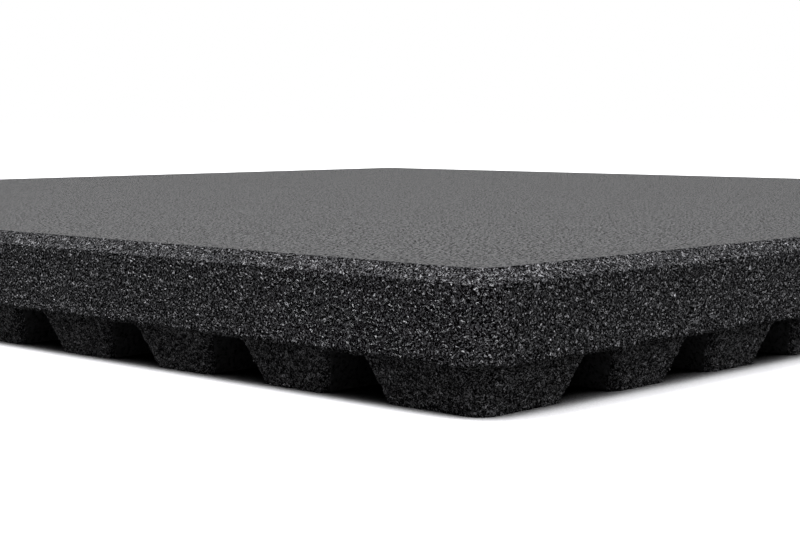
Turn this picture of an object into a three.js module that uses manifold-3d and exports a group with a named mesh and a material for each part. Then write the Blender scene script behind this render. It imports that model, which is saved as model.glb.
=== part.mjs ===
// Rubber gym floor tile: one slab of moulded crumb rubber with a bevelled top edge, standing on a grid of
// tapered feet. The grooves between the feet run right through in both directions and are open at the sides.
// Millimetres, +Z up. The origin is on the floor, under the middle of the tile.

import * as THREE from "three";
import { mergeVertices } from "three/addons/utils/BufferGeometryUtils.js";
import Module from "manifold-3d";

// Overall sizes
const TILE_SIDE = 500;
const TILE_THICKNESS = 30;
const SIDE_CORNER_RADIUS = 8;

// Bevel round the top face
const BEVEL_WIDTH = 3.4;
const BEVEL_HEIGHT = 3.3;
const TOP_CORNER_RADIUS = 6;

// Lip where the side wall turns under the slab
const LIP_WIDTH = 1.2;
const LIP_HEIGHT = 1.1;

// Feet, and the grooves between them
const FOOT_HEIGHT = 10.5;
const FOOT_GROUND_WIDTH = 19;
const FLANK_RUN = 3.8;
const ROOT_FLARE_RUN = 0.8;
const ROOT_FLARE_HEIGHT = 2.2;
const FOOT_CORNER_RADIUS = 2;
const GROOVE_CEILING_WIDTH = 9.8;
const EDGE_FOOT_SETBACK = 0.5;
const SMALLEST_EDGE_FOOT = 25;

// Facets of a quarter round, in plan
const SLAB_CORNER_FACETS = 4;
const FOOT_CORNER_FACETS = 1;

// The feet stand one pitch apart, one of them in the middle of the tile, in as many rows as leave the outer
// row a foot of its smallest size or more.
const FOOT_PITCH = FOOT_GROUND_WIDTH + 2 * (FLANK_RUN + ROOT_FLARE_RUN) + GROOVE_CEILING_WIDTH;
const EDGE_ROOT_INSET = LIP_WIDTH + EDGE_FOOT_SETBACK;
const FIRST_GROOVE_REACH = EDGE_ROOT_INSET + SMALLEST_EDGE_FOOT + GROOVE_CEILING_WIDTH / 2;
const GROOVES_EACH_SIDE_OF_MIDDLE = Math.floor((TILE_SIDE / 2 - FIRST_GROOVE_REACH) / FOOT_PITCH + 0.5);
const GROOVES = 2 * GROOVES_EACH_SIDE_OF_MIDDLE;

const wasm = await Module();
wasm.setup();

// A closed geometry as a solid, with its shared vertices merged.
function solidFrom(geometry) {
  geometry.deleteAttribute("normal");
  geometry.deleteAttribute("uv");
  const merged = mergeVertices(geometry, 1e-4);
  return new wasm.Manifold(
    new wasm.Mesh({
      numProp: 3,
      vertProperties: new Float32Array(merged.attributes.position.array),
      triVerts: new Uint32Array(merged.index.array),
    }),
  );
}

// A solid as a three.js geometry.
function geometryFrom(solid) {
  const mesh = solid.getMesh();
  const geometry = new THREE.BufferGeometry();
  geometry.setAttribute("position", new THREE.BufferAttribute(new Float32Array(mesh.vertProperties), 3));
  geometry.setIndex(new THREE.BufferAttribute(new Uint32Array(mesh.triVerts), 1));
  geometry.computeVertexNormals();
  return geometry;
}

// The points of a rectangle with rounded corners, in plan. x and y are its spans, each [from, to], and roundOf
// gives the radius and the facets of a corner from its signs along X and Y.
function roundedOutline(x, y, roundOf) {
  const quarter = Math.PI / 2;
  const signs = [
    [1, -1],
    [1, 1],
    [-1, 1],
    [-1, -1],
  ];
  return signs.flatMap(([signX, signY], corner) => {
    const { radius, facets } = roundOf(signX, signY);
    const cx = x[signX > 0 ? 1 : 0] - signX * radius;
    const cy = y[signY > 0 ? 1 : 0] - signY * radius;
    const start = (corner - 1) * quarter;
    const arc = new THREE.EllipseCurve(cx, cy, radius, radius, start, start + quarter);
    return arc.getPoints(facets);
  });
}

// A closed body through a stack of outlines, all with the same number of points, each at its own height.
function loft(layers) {
  const steps = layers.length - 1;
  const base = layers[0].outline;
  const body = new THREE.ExtrudeGeometry(new THREE.Shape(base), { depth: steps, steps, bevelEnabled: false });
  const place = body.attributes.position;
  for (let i = 0; i < place.count; i += 1) {
    const layer = layers[Math.round(place.getZ(i))];
    const here = new THREE.Vector2(place.getX(i), place.getY(i));
    const distances = base.map((point) => point.distanceToSquared(here));
    const point = layer.outline[distances.indexOf(Math.min(...distances))];
    place.setXYZ(i, point.x, point.y, layer.height);
  }
  return solidFrom(body);
}

// The slab: lip, upright side wall, bevel and flat top.
function slab() {
  const layer = (height, inset, radius) => {
    const span = [inset - TILE_SIDE / 2, TILE_SIDE / 2 - inset];
    return { height, outline: roundedOutline(span, span, () => ({ radius, facets: SLAB_CORNER_FACETS })) };
  };
  return loft([
    layer(FOOT_HEIGHT, LIP_WIDTH, SIDE_CORNER_RADIUS),
    layer(FOOT_HEIGHT + LIP_HEIGHT, 0, SIDE_CORNER_RADIUS),
    layer(TILE_THICKNESS - BEVEL_HEIGHT, 0, SIDE_CORNER_RADIUS),
    layer(TILE_THICKNESS, BEVEL_WIDTH, TOP_CORNER_RADIUS),
  ]);
}

// The middles of the grooves across one direction.
function grooveMiddles() {
  return Array.from({ length: GROOVES }, (_, i) => (i - GROOVES_EACH_SIDE_OF_MIDDLE + 0.5) * FOOT_PITCH);
}

// One row of feet across the tile: where each foot's root starts and ends, which of its two sides is a
// groove's flank, and which way its outer face looks. That is the face under the lip, which only end feet have.
function footSpans() {
  const half = GROOVE_CEILING_WIDTH / 2;
  const edge = TILE_SIDE / 2 - EDGE_ROOT_INSET;
  const middles = grooveMiddles();
  const starts = [-edge, ...middles.map((middle) => middle + half)];
  const ends = [...middles.map((middle) => middle - half), edge];
  return starts.map((from, i) => ({
    root: [from, ends[i]],
    flare: [i > 0 ? ROOT_FLARE_RUN : 0, i < GROOVES ? ROOT_FLARE_RUN : 0],
    outward: Number(i === GROOVES) - Number(i === 0),
  }));
}

// A foot's span at a given inset from its root, with its flares counted in as a share.
function spanAt(span, inset, flareShare) {
  return [
    span.root[0] + inset + flareShare * span.flare[0],
    span.root[1] - inset - flareShare * span.flare[1],
  ];
}

// One tapered foot, flared at its root where it faces a groove. Under the slab's corners it keeps one distance
// from the slab's round outline. Its root goes on into the slab up to the lip's upper edge, so that they are one.
function foot(spanX, spanY) {
  const flankAtFlare = (FLANK_RUN * ROOT_FLARE_HEIGHT) / FOOT_HEIGHT;
  const layer = (height, inset, flareShare) => {
    const cornerRadius = Math.max(FOOT_CORNER_RADIUS, SIDE_CORNER_RADIUS - EDGE_FOOT_SETBACK - inset);
    const roundOf = (signX, signY) =>
      signX === spanX.outward && signY === spanY.outward
        ? { radius: cornerRadius, facets: SLAB_CORNER_FACETS }
        : { radius: FOOT_CORNER_RADIUS, facets: FOOT_CORNER_FACETS };
    const outline = roundedOutline(spanAt(spanX, inset, flareShare), spanAt(spanY, inset, flareShare), roundOf);
    return { height, outline };
  };
  return loft([
    layer(0, FLANK_RUN, 1),
    layer(FOOT_HEIGHT - ROOT_FLARE_HEIGHT, flankAtFlare, 1),
    layer(FOOT_HEIGHT, 0, 0),
    layer(FOOT_HEIGHT + LIP_HEIGHT, 0, 0),
  ]);
}

// The whole moulding: the slab and its feet as one body.
function moulding() {
  const spans = footSpans();
  const feet = spans.flatMap((spanX) => spans.map((spanY) => foot(spanX, spanY)));
  return wasm.Manifold.union([slab(), ...feet]);
}

// Black crumb rubber, dull and a little brownish grey where the light catches it
const crumbRubber = new THREE.MeshStandardMaterial({ color: 0x2c2c2e, roughness: 0.85, metalness: 0 });

const tile = new THREE.Mesh(geometryFrom(moulding()), crumbRubber);
tile.name = "rubber_tile";

const part = new THREE.Group();
part.add(tile);

export default part;
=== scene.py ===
"""Dressed model of a black rubber gym floor tile, lying on a pale studio floor.

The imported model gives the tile's place and overall size. The moulding here follows the same sizes with its
edges rounded. Thousands of separate crumbs are bound into its sides, its bevel and its feet's outer faces.
"""

import logging
import math
from dataclasses import dataclass
from enum import Enum

import bmesh
import bpy
import numpy as np
from mathutils import Matrix, Vector


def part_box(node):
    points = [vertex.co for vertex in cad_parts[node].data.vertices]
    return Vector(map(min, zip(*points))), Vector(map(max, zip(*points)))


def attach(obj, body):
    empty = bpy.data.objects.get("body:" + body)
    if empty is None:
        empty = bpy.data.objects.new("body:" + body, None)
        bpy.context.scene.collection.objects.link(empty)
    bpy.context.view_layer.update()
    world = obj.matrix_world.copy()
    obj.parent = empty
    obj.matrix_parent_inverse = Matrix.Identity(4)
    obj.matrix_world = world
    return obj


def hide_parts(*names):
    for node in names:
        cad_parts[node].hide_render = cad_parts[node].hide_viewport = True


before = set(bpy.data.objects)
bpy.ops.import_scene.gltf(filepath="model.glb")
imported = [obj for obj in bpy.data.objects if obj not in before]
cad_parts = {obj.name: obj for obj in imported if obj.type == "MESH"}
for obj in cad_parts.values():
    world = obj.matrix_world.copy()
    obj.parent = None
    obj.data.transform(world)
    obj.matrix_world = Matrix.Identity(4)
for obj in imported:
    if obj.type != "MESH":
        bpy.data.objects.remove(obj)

log = logging.getLogger("rubber_tile")

MM = 0.001
NODE = "rubber_tile"
BODY = "root"
# The map that a piece is baked through.
BAKE_MAP = "OFBake"
# The attribute that gives each crumb its tone.
TONE = "tone"
# The first side's seed. Each side after it takes the next number.
FIRST_SEED = 11
WHITE = (1.0, 1.0, 1.0, 1.0)

# A face counts as level when its normal's upright part passes this.
LEVEL = 0.98
# Points closer than this in height, in millimetres, count as level with each other.
SAME_HEIGHT = 0.01
# A level face within this much of the top or the ground, in millimetres, is part of it.
FACE_DEPTH = 0.1
# How far in from the outline the sides' separate crumbs reach, in millimetres.
OUTLINE_BAND = 11.0
# Stands in for the area of a triangle that has none, where it is divided by.
LEAST_AREA = 1e-12


class Side(Enum):
    """The tile's four sides, by the outward direction of each."""

    LEFT = (-1.0, 0.0)
    FRONT = (0.0, -1.0)
    RIGHT = (1.0, 0.0)
    BACK = (0.0, 1.0)


@dataclass(frozen=True)
class TileSizes:
    """Sizes of the moulding in millimetres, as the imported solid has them."""

    side: float
    thickness: float
    corner_radius: float = 8.0
    top_corner_radius: float = 6.0
    bevel_width: float = 3.4
    bevel_height: float = 3.3
    lip_width: float = 1.2
    lip_height: float = 1.1
    foot_height: float = 10.5
    foot_ground_width: float = 19.0
    flank_run: float = 3.8
    flare_run: float = 0.8
    flare_height: float = 2.2
    foot_corner_radius: float = 2.0
    ceiling_width: float = 9.8
    setback: float = 0.5
    smallest_edge_foot: float = 25.0

    @property
    def pitch(self) -> float:
        """Distance from one foot to the next."""
        return self.foot_ground_width + 2 * (self.flank_run + self.flare_run) + self.ceiling_width

    @property
    def grooves_from_middle(self) -> int:
        """Grooves on each side of the middle foot."""
        reach = self.lip_width + self.setback + self.smallest_edge_foot + self.ceiling_width / 2
        return math.floor((self.side / 2 - reach) / self.pitch + 0.5)

    @classmethod
    def from_frame(cls) -> "TileSizes":
        """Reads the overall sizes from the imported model."""
        low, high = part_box(NODE)
        return cls(side=(high.x - low.x) / MM, thickness=(high.z - low.z) / MM)


@dataclass(frozen=True)
class FootSpan:
    """Where a foot's root starts and ends along one direction, its flares, and which way is out."""

    start: float
    end: float
    start_flare: float
    end_flare: float
    outward: int

    def at(self, inset: float, flare_share: float) -> tuple[float, float]:
        """The span at some inset from the root.

        Args:
            inset: How far both ends have come in from the root, in millimetres.
            flare_share: How much of the root flare has been left behind, from 0 to 1.

        Returns:
            The two ends of the span.
        """
        return (
            self.start + inset + flare_share * self.start_flare,
            self.end - inset - flare_share * self.end_flare,
        )


@dataclass(frozen=True)
class Ring:
    """A level that a foot's flanks bend at: its height, how far they have come in, the flare left behind."""

    height: float
    inset: float
    flare_share: float


def linear(hex_colour: str) -> tuple[float, float, float, float]:
    """Turns an sRGB hex colour to the linear values that shaders take.

    Args:
        hex_colour: Six hex digits with a leading hash.

    Returns:
        Red, green, blue and an alpha of 1.
    """
    parts = [int(hex_colour[i : i + 2], 16) / 255 for i in (1, 3, 5)]
    light = [c / 12.92 if c <= 0.04045 else ((c + 0.055) / 1.055) ** 2.4 for c in parts]
    return (light[0], light[1], light[2], 1.0)


def new_object(name: str, mesh: bpy.types.Mesh) -> bpy.types.Object:
    """Puts a mesh in the scene as an object at the origin.

    Args:
        name: The piece's name.
        mesh: Its mesh, in metres.

    Returns:
        The new object.
    """
    piece = bpy.data.objects.new(name, mesh)
    bpy.context.scene.collection.objects.link(piece)
    return piece


def mesh_from(bm: bmesh.types.BMesh, name: str) -> bpy.types.Mesh:
    """Turns a bmesh in millimetres into a mesh in metres, and frees the bmesh.

    Args:
        bm: The shape, in millimetres.
        name: The mesh's name.

    Returns:
        The mesh.
    """
    bmesh.ops.scale(bm, vec=(MM, MM, MM), verts=bm.verts)
    mesh = bpy.data.meshes.new(name)
    bm.to_mesh(mesh)
    bm.free()
    return mesh


def round_edges(bm: bmesh.types.BMesh, edges: list[bmesh.types.BMEdge], radius: float, segments: int) -> None:
    """Rounds some edges of a bmesh.

    Args:
        bm: The shape.
        edges: The edges to round.
        radius: How far the rounding reaches from each edge.
        segments: How many facets it has.
    """
    bmesh.ops.bevel(
        bm,
        geom=edges,
        offset=radius,
        offset_type="OFFSET",
        segments=segments,
        profile=0.5,
        affect="EDGES",
        clamp_overlap=True,
        material=-1,
    )


def is_along(edge: bmesh.types.BMEdge, height: float) -> bool:
    """Whether both ends of an edge lie at one height."""
    return all(abs(v.co.z - height) < SAME_HEIGHT for v in edge.verts)


def is_upright(edge: bmesh.types.BMEdge) -> bool:
    """Whether the two ends of an edge lie at different heights."""
    return abs(edge.verts[0].co.z - edge.verts[1].co.z) > SAME_HEIGHT


def cut_level(bm: bmesh.types.BMesh, height: float) -> None:
    """Cuts a shape right through at one height, and keeps both parts joined.

    Args:
        bm: The shape.
        height: Where to cut it.
    """
    everything = bm.verts[:] + bm.edges[:] + bm.faces[:]
    bmesh.ops.bisect_plane(bm, geom=everything, plane_co=(0, 0, height), plane_no=(0, 0, 1))


def carries_crumbs(sizes: TileSizes, middle: np.ndarray, normal: np.ndarray) -> np.ndarray:
    """Which faces carry separate crumbs: all that face outwards near the tile's outline.

    Args:
        sizes: The tile's sizes.
        middle: The faces' middles, in millimetres.
        normal: Their normals.

    Returns:
        True where a face carries crumbs.
    """
    near_outline = np.abs(middle[:, :2]).max(axis=1) > sizes.side / 2 - OUTLINE_BAND
    flat_top = (normal[:, 2] > LEVEL) & (middle[:, 2] > sizes.thickness - FACE_DEPTH)
    ground = (normal[:, 2] < -LEVEL) & (middle[:, 2] < FACE_DEPTH)
    return near_outline & ~flat_top & ~ground


@dataclass
class Moulding:
    """The slab and its feet, as they leave the mould, without the crumbs that stand out of the sides.

    Lengths are in millimetres. The sides lie back by crumb_relief, which leaves the crumbs room to stand out.
    """

    sizes: TileSizes
    crumb_relief: float = 0.3
    corner_facets: int = 8
    rim_radius: float = 0.5
    rim_facets: int = 2
    ground_edge_radius: float = 0.5
    ground_edge_facets: int = 2
    foot_corner_facets: int = 4
    flare_facets: int = 3
    flare_power: int = 3
    root_depth: float = 1.0
    root_narrowing: float = 0.6

    def build(self) -> bpy.types.Object:
        """Makes the moulding as one closed body.

        Returns:
            The piece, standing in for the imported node.
        """
        slab = new_object("tile_moulding", mesh_from(self._slab(), "tile_moulding"))
        feet = new_object("feet_tool", mesh_from(self._feet(), "feet_tool"))
        union = slab.modifiers.new("feet", "BOOLEAN")
        union.operation = "UNION"
        union.solver = "MANIFOLD"
        union.object = feet
        graph = bpy.context.evaluated_depsgraph_get()
        joined = bpy.data.meshes.new_from_object(slab.evaluated_get(graph))
        slab.modifiers.clear()
        slab.data = joined
        bpy.data.objects.remove(feet)
        self._dress(joined)
        return slab

    def _dress(self, mesh: bpy.types.Mesh) -> None:
        """Gives the walking face, the underside and the ground of the crumbed sides a finish each.

        Args:
            mesh: The whole moulding.
        """
        # The ground of the crumbed sides takes a finish darkened with painted shade of the crevices.
        finishes = (PRESSED_TOP, MOULDED_UNDERSIDE, SHADED_CREVICE_GROUND)
        pressed, moulded, shaded_crevices = range(len(finishes))
        mesh.materials.clear()
        for finish in finishes:
            mesh.materials.append(finish.material())
        count = len(mesh.polygons)
        middle, normal = np.empty(count * 3), np.empty(count * 3)
        mesh.polygons.foreach_get("center", middle)
        mesh.polygons.foreach_get("normal", normal)
        middle, normal = middle.reshape(-1, 3) / MM, normal.reshape(-1, 3)
        crumbed = carries_crumbs(self.sizes, middle, normal)
        top = (normal[:, 2] > LEVEL) & ~crumbed
        index = np.where(crumbed, shaded_crevices, np.where(top, pressed, moulded))
        mesh.polygons.foreach_set("material_index", index.astype(np.int32))

    def _slab(self) -> bmesh.types.BMesh:
        """The slab: lip, upright walls, bevel and flat top, with round plan corners.

        Returns:
            The slab, in millimetres.
        """
        s = self.sizes
        side = s.side - 2 * self.crumb_relief
        height = s.thickness - s.foot_height
        bm = bmesh.new()
        middle = Matrix.Translation((0, 0, s.foot_height + height / 2))
        bmesh.ops.create_cube(bm, size=1.0, matrix=middle @ Matrix.Diagonal((side, side, height, 1)))
        round_edges(bm, [e for e in bm.edges if is_upright(e)], s.corner_radius, self.corner_facets)
        wall_bottom = s.foot_height + s.lip_height
        wall_top = s.thickness - s.bevel_height
        cut_level(bm, wall_bottom)
        cut_level(bm, wall_top)
        for vert in bm.verts:
            if vert.co.z > s.thickness - SAME_HEIGHT:
                self._bring_in(vert, side, s.bevel_width, s.top_corner_radius)
            elif vert.co.z < s.foot_height + SAME_HEIGHT:
                self._bring_in(vert, side, s.lip_width, s.corner_radius)
        bends = (s.thickness, wall_top, wall_bottom)
        rims = [e for e in bm.edges if any(is_along(e, bend) for bend in bends)]
        round_edges(bm, rims, self.rim_radius, self.rim_facets)
        return bm

    def _bring_in(self, vert: bmesh.types.BMVert, side: float, inset: float, radius: float) -> None:
        """Moves a point of the slab's outline inwards, on to an outline with its own corner radius.

        Args:
            vert: The point to move.
            side: The outline's side before the move.
            inset: How far the straight stretches come in.
            radius: The corner radius after the move.
        """
        old_radius = self.sizes.corner_radius
        for axis in (0, 1):
            sign = math.copysign(1.0, vert.co[axis])
            from_centre = abs(vert.co[axis]) - (side / 2 - old_radius)
            centre = side / 2 - inset - radius
            vert.co[axis] = sign * (centre + from_centre * radius / old_radius)

    def _spans(self) -> list[FootSpan]:
        """One row of feet across the tile.

        Returns:
            The feet's spans, from one side of the tile to the other.
        """
        s = self.sizes
        edge = s.side / 2 - s.lip_width - s.setback - self.crumb_relief
        middles = [(i + 0.5) * s.pitch for i in range(-s.grooves_from_middle, s.grooves_from_middle)]
        starts = [-edge] + [m + s.ceiling_width / 2 for m in middles]
        ends = [m - s.ceiling_width / 2 for m in middles] + [edge]
        last = len(starts) - 1
        return [
            FootSpan(start, end, s.flare_run * (i > 0), s.flare_run * (i < last), (i == last) - (i == 0))
            for i, (start, end) in enumerate(zip(starts, ends))
        ]

    def _rings(self) -> list[Ring]:
        """The levels of a foot, from its rounded ground edge over its flank and flare up into the slab.

        Returns:
            The levels, from the ground up.
        """
        s = self.sizes
        flare_start = s.foot_height - s.flare_height
        slope = s.flank_run / s.foot_height
        rings = []
        for i in range(self.ground_edge_facets + 1):
            turn = math.radians(90 * i / self.ground_edge_facets)
            height = self.ground_edge_radius * (1 - math.cos(turn))
            rounded = self.ground_edge_radius * (1 - math.sin(turn))
            rings.append(Ring(height, s.flank_run - slope * height + rounded, 1.0))
        for i in range(self.flare_facets + 1):
            share = i / self.flare_facets
            height = flare_start + s.flare_height * share
            rings.append(Ring(height, slope * (s.foot_height - height), 1 - share**self.flare_power))
        rings.append(Ring(s.foot_height + self.root_depth, self.root_narrowing, 0.0))
        return rings

    def _feet(self) -> bmesh.types.BMesh:
        """All the feet, each a closed body that reaches a little up into the slab.

        Each starts as a block with round corners, whose centres are one radius from its middle, and with one
        level for every ring.

        Returns:
            The feet, in millimetres.
        """
        rings = self._rings()
        radius = self.sizes.foot_corner_radius
        side, levels = 4 * radius, len(rings) - 1
        pattern = bmesh.new()
        bmesh.ops.create_cube(pattern, size=1.0, matrix=Matrix.Diagonal((side, side, levels, 1)))
        round_edges(pattern, [e for e in pattern.edges if is_upright(e)], radius, self.foot_corner_facets)
        bmesh.ops.translate(pattern, vec=(0, 0, levels / 2), verts=pattern.verts)
        for level in range(1, levels):
            cut_level(pattern, level)
        block = bpy.data.meshes.new("foot_block")
        pattern.to_mesh(block)
        pattern.free()
        bm = bmesh.new()
        spans = self._spans()
        for span_x in spans:
            for span_y in spans:
                before = len(bm.verts)
                bm.from_mesh(block)
                bm.verts.ensure_lookup_table()
                self._shape_foot(bm.verts[before:], rings, (span_x, span_y))
        bpy.data.meshes.remove(block)
        return bm

    def _shape_foot(
        self, verts: list[bmesh.types.BMVert], rings: list[Ring], spans: tuple[FootSpan, FootSpan]
    ) -> None:
        """Moves the points of a round-cornered block on to a tapered foot.

        The foot keeps the block's corner rounds. Under the tile's corners its outer one follows the slab's.

        Args:
            verts: The block's points, whose heights count the rings.
            rings: The foot's levels.
            spans: Its spans along X and Y.
        """
        s = self.sizes
        block_radius = s.foot_corner_radius
        for vert in verts:
            ring = rings[round(vert.co.z)]
            signs = [int(math.copysign(1, vert.co[axis])) for axis in (0, 1)]
            under_corner = all(sign == span.outward for sign, span in zip(signs, spans))
            slab_radius = s.corner_radius - s.setback - ring.inset
            radius = max(block_radius, slab_radius) if under_corner else block_radius
            for axis, sign in enumerate(signs):
                end = spans[axis].at(ring.inset, ring.flare_share)[sign > 0]
                from_centre = abs(vert.co[axis]) - block_radius
                vert.co[axis] = end + sign * (from_centre * radius / block_radius - radius)
            vert.co.z = ring.height


@dataclass
class CrumbLayer:
    """The crumbs bound into one side of the tile: its wall, its bevel and the outer faces of its feet.

    Lengths are in millimetres. A crumb's middle lies up to deepest below the moulding's surface. What stands
    out past a height drawn from proudest is pushed back to it.
    """

    side: Side
    moulding: bpy.types.Object
    sizes: TileSizes
    seed: int
    spacing: float = 0.72
    radius: float = 0.44
    size_spread: float = 0.35
    size_limits: tuple[float, float] = (0.5, 1.8)
    coarser_on_feet: float = 1.4
    deepest: float = 0.2
    proudest: tuple[float, float] = (0.1, 0.4)
    shapes: int = 32
    shape_stretch: tuple[float, float] = (0.6, 1.25)
    shape_jitter: float = 0.22
    candidates_per_mm2: float = 10.0
    map_strips: int = 4
    map_margin: float = 1.5
    map_outward_share: float = 0.8

    def build(self) -> bpy.types.Object:
        """Makes the crumbs as one joined mesh.

        Returns:
            The piece.
        """
        random = np.random.default_rng(self.seed)
        places, normals = self._places(random)
        shards, faces = self._shards(random)
        points = self._bound_in(random, places, normals, shards)
        count, points_each = points.shape[:2]
        points = points.reshape(-1, 3)
        corners = (faces[None] + (np.arange(count) * points_each)[:, None, None]).reshape(-1, 3)
        name = f"crumbs_{self.side.name.lower()}"
        mesh = bpy.data.meshes.new(name)
        mesh.from_pydata((points * MM).tolist(), [], corners.tolist())
        tone = random.random(count).astype(np.float32)
        layer = mesh.attributes.new(TONE, "FLOAT", "FACE")
        layer.data.foreach_set("value", np.repeat(tone, len(faces)))
        bake_map = mesh.uv_layers.new(name=BAKE_MAP)
        laid_out = self._laid_out(points[corners], len(faces))
        bake_map.data.foreach_set("uv", laid_out.astype(np.float32).ravel())
        mesh.update()
        return new_object(name, mesh)

    def _bound_in(
        self, random: np.random.Generator, places: np.ndarray, normals: np.ndarray, shards: np.ndarray
    ) -> np.ndarray:
        """Sets a shard at each place, turned and sized by chance and sunk part of the way into the surface.

        Args:
            random: The seeded source of chance.
            places: The crumbs' places in millimetres.
            normals: The surface's normal at each.
            shards: The points of the shards to pick from.

        Returns:
            The points of each crumb in millimetres.
        """
        count = len(places)
        pick = random.integers(0, self.shapes, count)
        turned = np.einsum("nij,nvj->nvi", self._turns(random, count), shards[pick])
        size = self.radius * random.lognormal(0.0, self.size_spread, (count, 1, 1)).clip(*self.size_limits)
        size[places[:, 2] < self.sizes.foot_height] *= self.coarser_on_feet
        away = normals[:, None, :]
        reach = turned * size - away * random.uniform(0, self.deepest, (count, 1, 1))
        height = (reach * away).sum(axis=2, keepdims=True)
        limit = random.uniform(*self.proudest, (count, 1, 1))
        points = places[:, None, :] + reach - away * np.maximum(height - limit, 0)
        points[..., 2] = points[..., 2].clip(0.0, self.sizes.thickness)
        return points

    def _places(self, random: np.random.Generator) -> tuple[np.ndarray, np.ndarray]:
        """Spreads points evenly over this side's rough surface.

        Args:
            random: The seeded source of chance.

        Returns:
            The places in millimetres, and the surface's normal at each.
        """
        mesh = self.moulding.data
        mesh.calc_loop_triangles()
        count = len(mesh.loop_triangles)
        co = np.empty(len(mesh.vertices) * 3)
        mesh.vertices.foreach_get("co", co)
        index = np.empty(count * 3, np.int32)
        mesh.loop_triangles.foreach_get("vertices", index)
        corners = co.reshape(-1, 3)[index.reshape(-1, 3)] / MM
        cross = np.cross(corners[:, 1] - corners[:, 0], corners[:, 2] - corners[:, 0])
        area = np.linalg.norm(cross, axis=1) / 2
        normal = cross / np.maximum(2 * area, LEAST_AREA)[:, None]
        wanted = area * carries_crumbs(self.sizes, corners.mean(axis=1), normal)
        drawn = random.choice(count, int(wanted.sum() * self.candidates_per_mm2), p=wanted / wanted.sum())
        share = random.random((len(drawn), 2))
        share[share.sum(axis=1) > 1] = 1 - share[share.sum(axis=1) > 1]
        a, b, c = (corners[drawn, i] for i in range(3))
        places = a + share[:, :1] * (b - a) + share[:, 1:] * (c - a)
        mine = self._is_mine(places)
        places, drawn = places[mine], drawn[mine]
        cell = np.floor(places / self.spacing).astype(np.int64)
        _, first = np.unique(cell, axis=0, return_index=True)
        return places[first], normal[drawn[first]]

    def _is_mine(self, places: np.ndarray) -> np.ndarray:
        """Which places are on this side of the tile, split from its neighbours at the plan's diagonals.

        Args:
            places: The places in millimetres.

        Returns:
            True where a place is on this side.
        """
        across = places[:, 0] * self.side.value[0] + places[:, 1] * self.side.value[1]
        turned = places[:, 0] * self.side.value[1] - places[:, 1] * self.side.value[0]
        return (across > turned) & (across >= -turned)

    def _laid_out(self, faces: np.ndarray, faces_each: int) -> np.ndarray:
        """Lays the crumbs out flat for a bake, as strips of the side that lie one above the other.

        The faces that look into the tile hardly show, so each strip has them in a narrow band above the rest.

        Args:
            faces: The corners of every face in millimetres, crumb after crumb.
            faces_each: The faces of one crumb.

        Returns:
            Each corner's place in the map.
        """
        out = np.array([*self.side.value, 0.0])
        along = faces @ np.array([out[1], -out[0], 0.0]) + self.sizes.side / 2
        length = self.sizes.side / self.map_strips
        middle = along.reshape(-1, 3 * faces_each).mean(axis=1)
        strip = np.repeat((middle // length).clip(0, self.map_strips - 1), faces_each)[:, None]
        across = (along - strip * length + self.map_margin) / (length + 2 * self.map_margin)
        up = (faces[..., 2] + self.map_margin) / (self.sizes.thickness + 2 * self.map_margin)
        inward = np.cross(faces[:, 1] - faces[:, 0], faces[:, 2] - faces[:, 0]) @ out < 0
        share = self.map_outward_share
        up = np.where(inward[:, None], share + (1 - share) * up, share * up)
        return np.stack([across, (strip + up) / self.map_strips], axis=-1)

    def _shards(self, random: np.random.Generator) -> tuple[np.ndarray, np.ndarray]:
        """A few six-sided shards of unit radius.

        Args:
            random: The seeded source of chance.

        Returns:
            The shards' points, one row for each, and the faces that they share.
        """
        bm = bmesh.new()
        bmesh.ops.create_uvsphere(bm, u_segments=3, v_segments=2, radius=1.0)
        bm.verts.index_update()
        base = np.array([v.co[:] for v in bm.verts])
        faces = np.array([[v.index for v in f.verts] for f in bm.faces])
        bm.free()
        stretch = random.uniform(*self.shape_stretch, (self.shapes, 1, 3))
        jitter = random.normal(0.0, self.shape_jitter, (self.shapes, *base.shape))
        return base[None] * stretch + jitter, faces

    @staticmethod
    def _turns(random: np.random.Generator, count: int) -> np.ndarray:
        """Random turns, as matrices.

        Args:
            random: The seeded source of chance.
            count: How many.

        Returns:
            One 3 by 3 matrix for each.
        """
        q = random.normal(size=(count, 4))
        w, x, y, z = (q / np.linalg.norm(q, axis=1, keepdims=True)).T
        return np.stack(
            [
                np.stack([1 - 2 * (y * y + z * z), 2 * (x * y - z * w), 2 * (x * z + y * w)], axis=1),
                np.stack([2 * (x * y + z * w), 1 - 2 * (x * x + z * z), 2 * (y * z - x * w)], axis=1),
                np.stack([2 * (x * z - y * w), 2 * (y * z + x * w), 1 - 2 * (x * x + y * y)], axis=1),
            ],
            axis=1,
        )


def add_node(
    tree: bpy.types.NodeTree, kind: str, links: dict | None = None, **settings: object
) -> bpy.types.Node:
    """Adds a node with its settings and links.

    Args:
        tree: The material's or world's node tree.
        kind: The node's type name.
        links: Input name or number to an output socket or a plain value.
        **settings: Attributes of the node.

    Returns:
        The new node.
    """
    node = tree.nodes.new(kind)
    for name, value in settings.items():
        setattr(node, name, value)
    for name, value in (links or {}).items():
        if isinstance(value, bpy.types.NodeSocket):
            tree.links.new(value, node.inputs[name])
        else:
            node.inputs[name].default_value = value
    return node


def empty_material(name: str) -> bpy.types.Material:
    """A material with an empty node tree.

    Args:
        name: The material's name.

    Returns:
        The material.
    """
    material = bpy.data.materials.new(name)
    material.use_nodes = True
    material.node_tree.nodes.clear()
    return material


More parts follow.
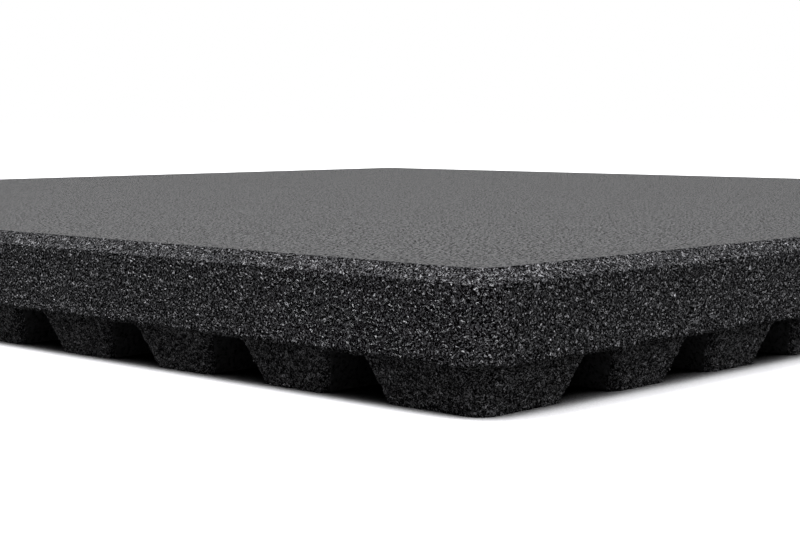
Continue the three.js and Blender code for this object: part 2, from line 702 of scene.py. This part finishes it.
def ramp_of(
    tree: bpy.types.NodeTree, value: bpy.types.NodeSocket, stops: dict[float, str]
) -> bpy.types.NodeSocket:
    """Turns a value into a colour through a ramp.

    Args:
        tree: The node tree.
        value: The value, from 0 to 1.
        stops: Position to sRGB hex colour.

    Returns:
        The ramp's colour.
    """
    ramp = add_node(tree, "ShaderNodeValToRGB", {0: value})
    elements = ramp.color_ramp.elements
    first, *between, last = sorted(stops)
    elements[0].position, elements[0].color = first, linear(stops[first])
    elements[1].position, elements[1].color = last, linear(stops[last])
    for position in between:
        elements.new(position).color = linear(stops[position])
    return ramp.outputs["Color"]


@dataclass(frozen=True)
class RubberSurface:
    """How a rubber's surface takes light: its gloss and relief, and the pores that break it up.

    The pores are cut from a fine noise, and painted shade darkens and dulls them: it starts below the higher
    of the two levels in pores, and is full below the lower one.
    """

    roughness: float
    specular_level: float
    relief_mm: float
    pores: tuple[float, float]
    painted_pore_shade: float
    ior: float = 1.52

    def close(
        self,
        tree: bpy.types.NodeTree,
        colour: bpy.types.NodeSocket,
        noise: bpy.types.NodeSocket,
        height: bpy.types.NodeSocket,
    ) -> None:
        """Ends a material's nodes in a shader whose pores are darkened and dulled with painted shade.

        Args:
            tree: The material's node tree.
            colour: The colour outside the pores.
            noise: The fine noise that the pores are cut from.
            height: The relief's height, counted in relief_mm.
        """
        full, start = self.pores
        levels = {
            "Value": noise,
            "From Min": full,
            "From Max": start,
            "To Min": self.painted_pore_shade,
            "To Max": 1.0,
        }
        # Painted shade in the pores: it darkens their colour and dulls their gloss.
        shade = add_node(tree, "ShaderNodeMapRange", levels).outputs[0]
        pore_shaded_colour = add_node(tree, "ShaderNodeVectorMath", {0: colour, "Scale": shade}, operation="SCALE")
        gloss = add_node(tree, "ShaderNodeMath", {0: shade, 1: self.specular_level}, operation="MULTIPLY")
        relief = {"Height": height, "Distance": self.relief_mm * MM, "Strength": 1.0}
        bump = add_node(tree, "ShaderNodeBump", relief)
        sockets = {
            "Base Color": pore_shaded_colour.outputs[0],
            "Roughness": self.roughness,
            "IOR": self.ior,
            "Specular IOR Level": gloss.outputs[0],
            "Normal": bump.outputs["Normal"],
        }
        shader = add_node(tree, "ShaderNodeBsdfPrincipled", sockets)
        add_node(tree, "ShaderNodeOutputMaterial", {"Surface": shader.outputs["BSDF"]})


@dataclass(frozen=True)
class CrumbRubber:
    """Tyre rubber, shredded to crumbs and bound with a clear binder: dull black, with a few paler crumbs. The
    brightest few of these are painted glints.

    Real crumbs' pits are too fine to show in the render, so they are drawn 0.3 mm wide, in painted shade.
    """

    name: str = "shredded tyre rubber crumb"
    darkest: str = "#2b2b2c"
    middle: str = "#3d3d3f"
    pale: str = "#49494b"
    # Painted highlight: the few crumbs above pale_tone brighten towards this colour, standing in for glints.
    palest_painted_glint: str = "#666669"
    middle_tone: float = 0.5
    pale_tone: float = 0.96
    pit_mm: float = 0.3
    pit_detail: float = 2.0
    surface: RubberSurface = RubberSurface(
        roughness=0.55,
        specular_level=0.2,
        relief_mm=0.1,
        pores=(0.49, 0.53),
        painted_pore_shade=0.02,
    )

    def material(self) -> bpy.types.Material:
        """The finish of the crumbs, whose tone differs from one to the next.

        Returns:
            The material.
        """
        material = empty_material(self.name)
        tree = material.node_tree
        tone = add_node(tree, "ShaderNodeAttribute", attribute_name=TONE).outputs["Fac"]
        stops = {
            0.0: self.darkest,
            self.middle_tone: self.middle,
            self.pale_tone: self.pale,
            1.0: self.palest_painted_glint,
        }
        colour = ramp_of(tree, tone, stops)
        place = add_node(tree, "ShaderNodeTexCoord").outputs["Object"]
        grain = {"Vector": place, "Scale": 1 / (self.pit_mm * MM), "Detail": self.pit_detail}
        pits = add_node(tree, "ShaderNodeTexNoise", grain).outputs[0]
        # The pits' noise gives both the relief and the painted shade that darkens the pits.
        self.surface.close(tree, colour, noise=pits, height=pits)
        return material


@dataclass(frozen=True)
class MouldedRubber:
    """Crumb rubber as one surface: crumbs of several tones, with pores and low relief between them."""

    name: str
    dark: str
    light: str
    crumb_mm: float
    surface: RubberSurface
    grain_detail: float = 3.0
    grain_roughness: float = 0.7

    def material(self) -> bpy.types.Material:
        """The finish of a stretch of the moulding's own surface.

        Returns:
            The material.
        """
        material = empty_material(self.name)
        tree = material.node_tree
        place = add_node(tree, "ShaderNodeTexCoord").outputs["Object"]
        scale = 1 / (self.crumb_mm * MM)
        cells = add_node(tree, "ShaderNodeTexVoronoi", {"Vector": place, "Scale": scale})
        grey = add_node(tree, "ShaderNodeSeparateColor", {0: cells.outputs["Color"]})
        colour = ramp_of(tree, grey.outputs[0], {0.0: self.dark, 1.0: self.light})
        grain = {
            "Vector": place,
            "Scale": scale,
            "Detail": self.grain_detail,
            "Roughness": self.grain_roughness,
        }
        fine = add_node(tree, "ShaderNodeTexNoise", grain).outputs[0]
        height = add_node(tree, "ShaderNodeMath", {0: fine, 1: grey.outputs[1]}, operation="ADD")
        self.surface.close(tree, colour, noise=fine, height=height.outputs[0])
        return material


# Pressed flat by the mould's plate: the crumbs lie level and close. At a low angle the face looks an even
# grey, peppered with pores painted black: painted shade that leaves them no gloss either.
PRESSED_TOP = MouldedRubber(
    name="pressed crumb rubber, walking face",
    dark="#090909",
    light="#202022",
    crumb_mm=0.7,
    surface=RubberSurface(
        roughness=0.4,
        specular_level=0.22,
        relief_mm=0.06,
        pores=(0.45, 0.5),
        painted_pore_shade=0.0,
    ),
)
# Open moulded grain, as under the tile: coarser crumbs in deeper relief, matt, with pores of painted shade.
# Its tones are darker than the sides' crumbs, partly as painted shade in the grooves.
MOULDED_UNDERSIDE = MouldedRubber(
    name="moulded crumb rubber, underside",
    dark="#0a0a0b",
    light="#232325",
    crumb_mm=1.0,
    surface=RubberSurface(
        roughness=0.6,
        specular_level=0.4,
        relief_mm=0.25,
        pores=(0.36, 0.5),
        painted_pore_shade=0.1,
    ),
)
# What lies between the separate crumbs of the sides: finer crumbs, half of it black pores.
# Painted shade: its dark tones, weak gloss and black pores stand in for the shade between the crumbs.
SHADED_CREVICE_GROUND = MouldedRubber(
    name="fine crumb rubber between the crumbs",
    dark="#0c0c0d",
    light="#343436",
    crumb_mm=0.45,
    surface=RubberSurface(
        roughness=0.7,
        specular_level=0.05,
        relief_mm=0.2,
        pores=(0.5, 0.55),
        painted_pore_shade=0.02,
    ),
)


@dataclass(frozen=True)
class Softbox:
    """A square soft lamp, with its power in watts and its place in metres.

    The place is counted from the tile's middle, ahead and to the left as the camera looks at it.
    """

    name: str
    ahead: float
    left: float
    height: float
    power: float
    size: float = 0.7


# The main light, high on the camera's side of the tile.
KEY = Softbox("key softbox", ahead=-1.0, left=0.0, height=1.5, power=94.0)
# A weaker one above the tile and to its left, which brightens the left bevel.
TOP = Softbox("top softbox", ahead=-0.3, left=0.5, height=1.5, power=63.0)
# The weakest, far to the right, which reaches the right side and its feet.
FILL = Softbox("fill softbox", ahead=-1.2, left=-0.8, height=1.4, power=24.0)


@dataclass(frozen=True)
class Studio:
    """White floor, soft light all round and the photo's camera.

    The floor starts to glow at the nearer distance in lit_floor_m and is white from the farther one, so that
    it meets the surround without an edge. Its contact shadow is black where ambient occlusion leaves less than
    the first value of the span, and gone at the second.
    """

    camera_place_mm: tuple[float, float, float] = (-488.0, -450.3, 58.5)
    yaw_deg: float = 43.10
    pitch_deg: float = 5.07
    lens_mm: float = 73.7
    sensor_mm: float = 36.0
    clip_start_m: float = 0.01
    floor_m: float = 60.0
    floor_colour: str = "#bababc"
    floor_bounce_colour: str = "#505050"
    lit_floor_m: tuple[float, float] = (0.6, 1.6)
    contact_shadow_m: float = 0.04
    contact_shadow_span: tuple[float, float] = (0.19, 1.0)
    contact_shadow_samples: int = 8
    surround_strength: float = 0.8

    def build(self) -> None:
        """Adds the floor, the lights and the camera."""
        self._floor()
        for softbox in (KEY, TOP, FILL):
            self._lamp(softbox)
        self._world()
        self._camera()

    @property
    def ahead(self) -> Vector:
        """The level direction that the camera looks in."""
        yaw = math.radians(self.yaw_deg)
        return Vector((math.cos(yaw), math.sin(yaw), 0.0))

    def _floor(self) -> None:
        """Adds a wide level floor."""
        bm = bmesh.new()
        bmesh.ops.create_grid(bm, x_segments=1, y_segments=1, size=self.floor_m / 2)
        mesh = bpy.data.meshes.new("floor")
        bm.to_mesh(mesh)
        bm.free()
        mesh.materials.append(self._floor_material())
        new_object("floor", mesh)

    def _floor_material(self) -> bpy.types.Material:
        """A pale matt floor, which throws back less light than it shows.

        Returns:
            The material.
        """
        material = empty_material("pale studio floor")
        tree = material.node_tree
        path = add_node(tree, "ShaderNodeLightPath")
        place = add_node(tree, "ShaderNodeTexCoord").outputs["Object"]
        distance = add_node(tree, "ShaderNodeVectorMath", {0: place}, operation="LENGTH").outputs["Value"]
        near, far = self.lit_floor_m
        glow = add_node(tree, "ShaderNodeMapRange", {"Value": distance, "From Min": near, "From Max": far})
        lit = add_node(tree, "ShaderNodeEmission", {"Color": WHITE, "Strength": glow.outputs[0]})
        reach = {"Distance": self.contact_shadow_m}
        openness = add_node(tree, "ShaderNodeAmbientOcclusion", reach, samples=self.contact_shadow_samples)
        dark, clear = self.contact_shadow_span
        span = {"Value": openness.outputs["AO"], "From Min": dark, "From Max": clear}
        shadow = add_node(tree, "ShaderNodeMapRange", span)
        pale = {0: linear(self.floor_colour)[:3], "Scale": shadow.outputs[0]}
        shaded = add_node(tree, "ShaderNodeVectorMath", pale, operation="SCALE")
        matt = add_node(tree, "ShaderNodeBsdfDiffuse", {"Color": shaded.outputs[0]})
        shown = add_node(tree, "ShaderNodeAddShader", {0: lit.outputs[0], 1: matt.outputs[0]})
        thrown = add_node(tree, "ShaderNodeBsdfDiffuse", {"Color": linear(self.floor_bounce_colour)})
        links = {0: path.outputs["Is Camera Ray"], 1: thrown.outputs[0], 2: shown.outputs[0]}
        mix = add_node(tree, "ShaderNodeMixShader", links)
        add_node(tree, "ShaderNodeOutputMaterial", {"Surface": mix.outputs[0]})
        return material

    def _lamp(self, softbox: Softbox) -> None:
        """Adds one softbox, turned towards the tile's middle.

        Args:
            softbox: The lamp's size, place and power.
        """
        light = bpy.data.lights.new(softbox.name, "AREA")
        light.shape = "SQUARE"
        light.size = softbox.size
        light.energy = softbox.power
        lamp = bpy.data.objects.new(softbox.name, light)
        left = Vector((-self.ahead.y, self.ahead.x, 0.0))
        lamp.location = self.ahead * softbox.ahead + left * softbox.left + Vector((0.0, 0.0, softbox.height))
        lamp.rotation_euler = (-lamp.location).to_track_quat("-Z", "Y").to_euler()
        bpy.context.scene.collection.objects.link(lamp)

    def _world(self) -> None:
        """A white surround, which looks brighter than the light it throws."""
        world = bpy.data.worlds.new("studio")
        world.use_nodes = True
        tree = world.node_tree
        tree.nodes.clear()
        lit = add_node(tree, "ShaderNodeBackground", {"Color": WHITE, "Strength": self.surround_strength})
        seen = add_node(tree, "ShaderNodeBackground", {"Color": WHITE, "Strength": 1.0})
        path = add_node(tree, "ShaderNodeLightPath")
        links = {0: path.outputs["Is Camera Ray"], 1: lit.outputs[0], 2: seen.outputs[0]}
        mix = add_node(tree, "ShaderNodeMixShader", links)
        add_node(tree, "ShaderNodeOutputWorld", {"Surface": mix.outputs[0]})
        bpy.context.scene.world = world
        bpy.context.scene.view_settings.view_transform = "Standard"

    def _camera(self) -> None:
        """The camera, low in front of the near corner, as in the photo."""
        camera = bpy.data.cameras.new("camera")
        camera.lens = self.lens_mm
        camera.sensor_width = self.sensor_mm
        camera.clip_start = self.clip_start_m
        eye = bpy.data.objects.new("camera", camera)
        eye.location = Vector(self.camera_place_mm) * MM
        eye.rotation_euler = (math.radians(90 - self.pitch_deg), 0.0, math.radians(self.yaw_deg - 90))
        bpy.context.scene.collection.objects.link(eye)
        bpy.context.scene.camera = eye


def place_piece(piece: bpy.types.Object) -> None:
    """Fixes a piece to the tile's one body, and reports it.

    Args:
        piece: The finished piece.
    """
    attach(piece, BODY)
    log.info("%s: %d faces", piece.name, len(piece.data.polygons))


def main() -> None:
    """Builds the dressed tile piece by piece."""
    logging.basicConfig(level=logging.INFO, format="%(name)s: %(message)s")
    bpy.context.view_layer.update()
    Studio().build()
    sizes = TileSizes.from_frame()
    moulding = Moulding(sizes).build()
    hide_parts(NODE)
    place_piece(moulding)
    rubber = CrumbRubber().material()
    for number, side in enumerate(Side):
        crumbs = CrumbLayer(side, moulding, sizes, seed=FIRST_SEED + number).build()
        crumbs.data.materials.append(rubber)
        place_piece(crumbs)


if __name__ == "__main__":
    main()
